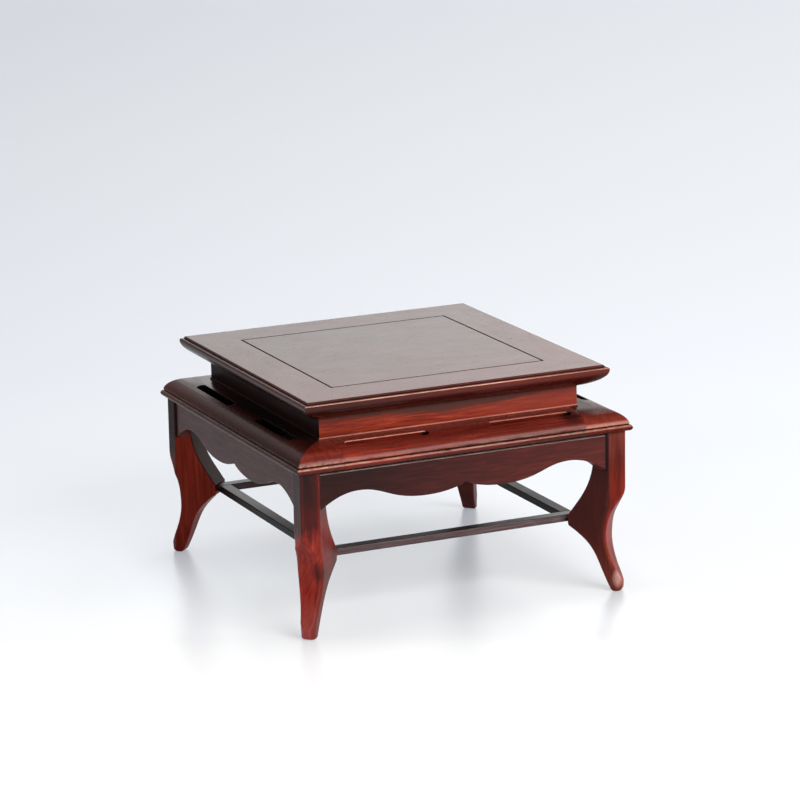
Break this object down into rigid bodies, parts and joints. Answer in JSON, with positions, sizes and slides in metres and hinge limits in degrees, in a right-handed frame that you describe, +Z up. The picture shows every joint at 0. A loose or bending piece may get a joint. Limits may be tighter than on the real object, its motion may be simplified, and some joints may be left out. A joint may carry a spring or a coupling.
{
  "type": "square display stand",
  "caption": "Square hardwood display stand with a framed panel top, drawn-in waist, slotted rounded shoulder, scalloped aprons, S-shaped diagonal legs and a stretcher frame.",
  "frame": {"origin": "on the floor under the middle of the stand", "axes": "+Z up, front facing -Y, +X to the right seen from the front"},
  "size_m": [0.2, 0.2, 0.128],
  "materials": {
    "panel": "gloss lacquer over dark rosewood",
    "top_frame": "gloss lacquer over dark rosewood",
    "waist": "gloss lacquer over streaked red rosewood",
    "shoulder": "gloss lacquer over red rosewood",
    "apron": "satin lacquer over dark rosewood",
    "leg": "satin lacquer over red rosewood",
    "stretcher": "satin lacquer over dark rosewood"
  },
  "bodies": {
    "root": {"top_panel": "panel", "top_frame_front": "top_frame", "top_frame_back": "top_frame", "top_frame_left": "top_frame", "top_frame_right": "top_frame", "waist_front": "waist", "waist_back": "waist", "waist_left": "waist", "waist_right": "waist", "shoulder_front": "shoulder", "shoulder_back": "shoulder", "shoulder_left": "shoulder", "shoulder_right": "shoulder", "apron_front": "apron", "apron_back": "apron", "apron_left": "apron", "apron_right": "apron", "leg_front_left": "leg", "leg_front_right": "leg", "leg_back_left": "leg", "leg_back_right": "leg", "stretcher_front": "stretcher", "stretcher_back": "stretcher", "stretcher_left": "stretcher", "stretcher_right": "stretcher"}
  },
  "joints": []
}
